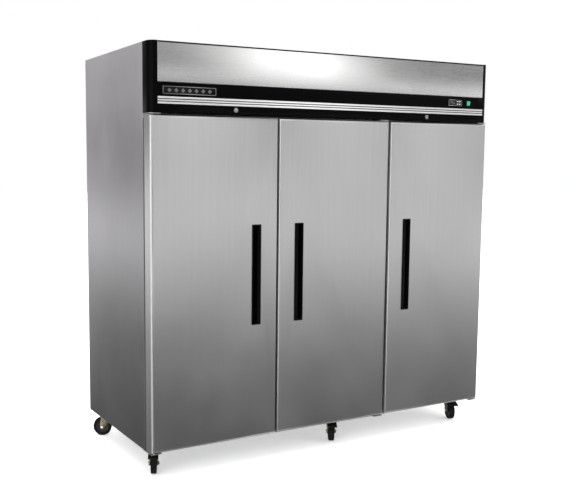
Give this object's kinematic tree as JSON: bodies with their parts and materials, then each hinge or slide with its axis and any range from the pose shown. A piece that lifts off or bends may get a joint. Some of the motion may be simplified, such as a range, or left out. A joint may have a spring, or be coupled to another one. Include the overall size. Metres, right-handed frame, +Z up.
{
  "type": "reach-in refrigerator",
  "caption": "Upright three-door stainless reach-in refrigerator with a top-mounted condensing unit, black header, recessed pulls and swivel casters.",
  "frame": {"origin": "on the floor under the middle of the cabinet", "axes": "+X to the right as seen from the front, front faces -Y, +Z up"},
  "size_m": [2.057, 0.85, 2.03],
  "materials": {
    "brushed_stainless": "vertical brushed stainless steel",
    "galvanised_sheet": "plain galvanised sheet",
    "insulation": "rigid polyurethane foam",
    "liner_metal": "embossed aluminium liner",
    "gasket_vinyl": "grey vinyl magnetic gasket",
    "black_moulding": "satin black moulding",
    "silver_trim": "ribbed bright anodised trim",
    "badge_metal": "dark plate with a bright rim",
    "controller_case": "grey bezel, dark display",
    "switch_green": "green lit rocker",
    "lock_chrome": "polished lock face",
    "shelf_wire": "white epoxy coated wire",
    "standard_steel": "slotted stainless strip",
    "clip_steel": "plated clip",
    "compressor_paint": "black enamel",
    "fin_aluminium": "fins on tubes",
    "copper": "copper tube",
    "box_paint": "grey powder coat",
    "gland_nylon": "black nylon",
    "zinc_plate": "yellow zinc plate",
    "wheel_rubber": "black tread",
    "pedal_plastic": "black pedal",
    "bracket_steel": "pivot bracket",
    "fan_plastic": "black blade",
    "motor_case": "motor case"
  },
  "bodies": {
    "cabinet": {"side_panel_left": "brushed_stainless", "side_panel_right": "brushed_stainless", "back_panel": "galvanised_sheet", "bottom_panel": "galvanised_sheet", "deck_panel": "galvanised_sheet", "foam_insulation": "insulation", "inner_liner": "liner_metal", "mullions": "brushed_stainless", "shelf_standards": "standard_steel", "shelf_clips": "clip_steel", "wire_shelves": "shelf_wire", "evaporator_housing": "liner_metal", "evaporator_coil": "fin_aluminium", "fan_motors": "motor_case", "condenser": "fin_aluminium", "compressor": "compressor_paint", "refrigerant_lines": "copper", "control_box": "box_paint", "cord_gland": "gland_nylon", "header_end_caps": "black_moulding", "header_fascia": "black_moulding", "header_trim_strip": "silver_trim", "badge_plate": "badge_metal", "temperature_controller": "controller_case", "hinge_brackets": "bracket_steel", "caster_plates": "zinc_plate"},
    "door_left": {"door_left_skin": "brushed_stainless", "door_left_inner_panel": "insulation", "door_left_gasket": "gasket_vinyl", "door_left_handle": "black_moulding"},
    "door_middle": {"door_middle_skin": "brushed_stainless", "door_middle_inner_panel": "insulation", "door_middle_gasket": "gasket_vinyl", "door_middle_handle": "black_moulding"},
    "door_right": {"door_right_skin": "brushed_stainless", "door_right_inner_panel": "insulation", "door_right_gasket": "gasket_vinyl", "door_right_handle": "black_moulding"},
    "header_panel": {"header_panel": "brushed_stainless"},
    "power_switch": {"power_switch": "switch_green"},
    "lock_left": {"lock_left": "lock_chrome"},
    "lock_right": {"lock_right": "lock_chrome"},
    "evaporator_fan_left": {"evaporator_fan_left": "fan_plastic"},
    "evaporator_fan_right": {"evaporator_fan_right": "fan_plastic"},
    "condenser_fan": {"condenser_fan": "fan_plastic"},
    "caster_fork_front_left": {"caster_fork_front_left": "zinc_plate"},
    "caster_wheel_front_left": {"caster_wheel_front_left": "wheel_rubber"},
    "caster_brake_front_left": {"caster_brake_front_left": "pedal_plastic"},
    "caster_fork_front_middle": {"caster_fork_front_middle": "zinc_plate"},
    "caster_wheel_front_middle": {"caster_wheel_front_middle": "wheel_rubber"},
    "caster_brake_front_middle": {"caster_brake_front_middle": "pedal_plastic"},
    "caster_fork_front_right": {"caster_fork_front_right": "zinc_plate"},
    "caster_wheel_front_right": {"caster_wheel_front_right": "wheel_rubber"},
    "caster_brake_front_right": {"caster_brake_front_right": "pedal_plastic"},
    "caster_fork_back_left": {"caster_fork_back_left": "zinc_plate"},
    "caster_wheel_back_left": {"caster_wheel_back_left": "wheel_rubber"},
    "caster_fork_back_middle": {"caster_fork_back_middle": "zinc_plate"},
    "caster_wheel_back_middle": {"caster_wheel_back_middle": "wheel_rubber"},
    "caster_fork_back_right": {"caster_fork_back_right": "zinc_plate"},
    "caster_wheel_back_right": {"caster_wheel_back_right": "wheel_rubber"}
  },
  "joints": [
    {"name": "door_left_hinge", "type": "hinge", "parent": "cabinet", "child": "door_left", "pos_m": [-1.0105, -0.406, 0], "axis": [0, 0, -1], "range_deg": [0, 105], "stiffness_Nm_per_rad": 1},
    {"name": "door_middle_hinge", "type": "hinge", "parent": "cabinet", "child": "door_middle", "pos_m": [0.32217, -0.406, 0], "axis": [0, 0, 1], "range_deg": [0, 105], "stiffness_Nm_per_rad": 1},
    {"name": "door_right_hinge", "type": "hinge", "parent": "cabinet", "child": "door_right", "pos_m": [1.0105, -0.406, 0], "axis": [0, 0, 1], "range_deg": [0, 105], "stiffness_Nm_per_rad": 1},
    {"name": "header_panel_hinge", "type": "hinge", "parent": "cabinet", "child": "header_panel", "pos_m": [0, -0.41, 2.017], "axis": [-1, 0, 0], "range_deg": [0, 80]},
    {"name": "power_switch_rocker", "type": "hinge", "parent": "cabinet", "child": "power_switch", "pos_m": [0.884, -0.412, 1.815], "axis": [1, 0, 0], "range_deg": [0, 12]},
    {"name": "lock_left_turn", "type": "hinge", "parent": "cabinet", "child": "lock_left", "pos_m": [-0.586, -0.422, 1.733], "axis": [0, 1, 0], "range_deg": [0, 90]},
    {"name": "lock_right_turn", "type": "hinge", "parent": "cabinet", "child": "lock_right", "pos_m": [0.586, -0.422, 1.733], "axis": [0, 1, 0], "range_deg": [0, 90]},
    {"name": "evaporator_fan_left_spin", "type": "hinge", "parent": "cabinet", "child": "evaporator_fan_left", "pos_m": [-0.28, -0.16, 1.591], "axis": [0, 1, 0], "continuous": true},
    {"name": "evaporator_fan_right_spin", "type": "hinge", "parent": "cabinet", "child": "evaporator_fan_right", "pos_m": [0.28, -0.16, 1.591], "axis": [0, 1, 0], "continuous": true},
    {"name": "condenser_fan_spin", "type": "hinge", "parent": "cabinet", "child": "condenser_fan", "pos_m": [-0.3, -0.1447, 1.832], "axis": [0, 1, 0], "continuous": true},
    {"name": "caster_swivel_front_left", "type": "hinge", "parent": "cabinet", "child": "caster_fork_front_left", "pos_m": [-0.948, -0.272, 0], "axis": [0, 0, 1], "continuous": true},
    {"name": "caster_roll_front_left", "type": "hinge", "parent": "caster_fork_front_left", "child": "caster_wheel_front_left", "pos_m": [-0.96389, -0.30318, 0.05], "axis": [-0.891, 0.454, 0], "continuous": true},
    {"name": "caster_brake_front_left_press", "type": "hinge", "parent": "caster_fork_front_left", "child": "caster_brake_front_left", "pos_m": [-0.96253, -0.30051, 0.1065], "axis": [0.891, -0.454, 0], "range_deg": [0, 10]},
    {"name": "caster_swivel_front_middle", "type": "hinge", "parent": "cabinet", "child": "caster_fork_front_middle", "pos_m": [0.1, -0.272, 0], "axis": [0, 0, 1], "continuous": true},
    {"name": "caster_roll_front_middle", "type": "hinge", "parent": "caster_fork_front_middle", "child": "caster_wheel_front_middle", "pos_m": [0.0825, -0.30231, 0.05], "axis": [-0.866, 0.5, 0], "continuous": true},
    {"name": "caster_brake_front_middle_press", "type": "hinge", "parent": "caster_fork_front_middle", "child": "caster_brake_front_middle", "pos_m": [0.084, -0.29971, 0.1065], "axis": [0.866, -0.5, 0], "range_deg": [0, 10]},
    {"name": "caster_swivel_front_right", "type": "hinge", "parent": "cabinet", "child": "caster_fork_front_right", "pos_m": [0.948, -0.272, 0], "axis": [0, 0, 1], "continuous": true},
    {"name": "caster_roll_front_right", "type": "hinge", "parent": "caster_fork_front_right", "child": "caster_wheel_front_right", "pos_m": [0.93432, -0.30422, 0.05], "axis": [-0.9205, 0.3907, 0], "continuous": true},
    {"name": "caster_brake_front_right_press", "type": "hinge", "parent": "caster_fork_front_right", "child": "caster_brake_front_right", "pos_m": [0.9355, -0.30146, 0.1065], "axis": [0.9205, -0.3907, 0], "range_deg": [0, 10]},
    {"name": "caster_swivel_back_left", "type": "hinge", "parent": "cabinet", "child": "caster_fork_back_left", "pos_m": [-0.948, 0.335, 0], "axis": [0, 0, 1], "continuous": true},
    {"name": "caster_roll_back_left", "type": "hinge", "parent": "caster_fork_back_left", "child": "caster_wheel_back_left", "pos_m": [-0.97918, 0.35089, 0.05], "axis": [0.454, 0.891, 0], "continuous": true},
    {"name": "caster_swivel_back_middle", "type": "hinge", "parent": "cabinet", "child": "caster_fork_back_middle", "pos_m": [0.1, 0.335, 0], "axis": [0, 0, 1], "continuous": true},
    {"name": "caster_roll_back_middle", "type": "hinge", "parent": "caster_fork_back_middle", "child": "caster_wheel_back_middle", "pos_m": [0.07992, 0.36367, 0.05], "axis": [0.8192, 0.5736, 0], "continuous": true},
    {"name": "caster_swivel_back_right", "type": "hinge", "parent": "cabinet", "child": "caster_fork_back_right", "pos_m": [0.948, 0.335, 0], "axis": [0, 0, 1], "continuous": true},
    {"name": "caster_roll_back_right", "type": "hinge", "parent": "caster_fork_back_right", "child": "caster_wheel_back_right", "pos_m": [0.95997, 0.36789, 0.05], "axis": [0.9397, -0.342, 0], "continuous": true}
  ]
}
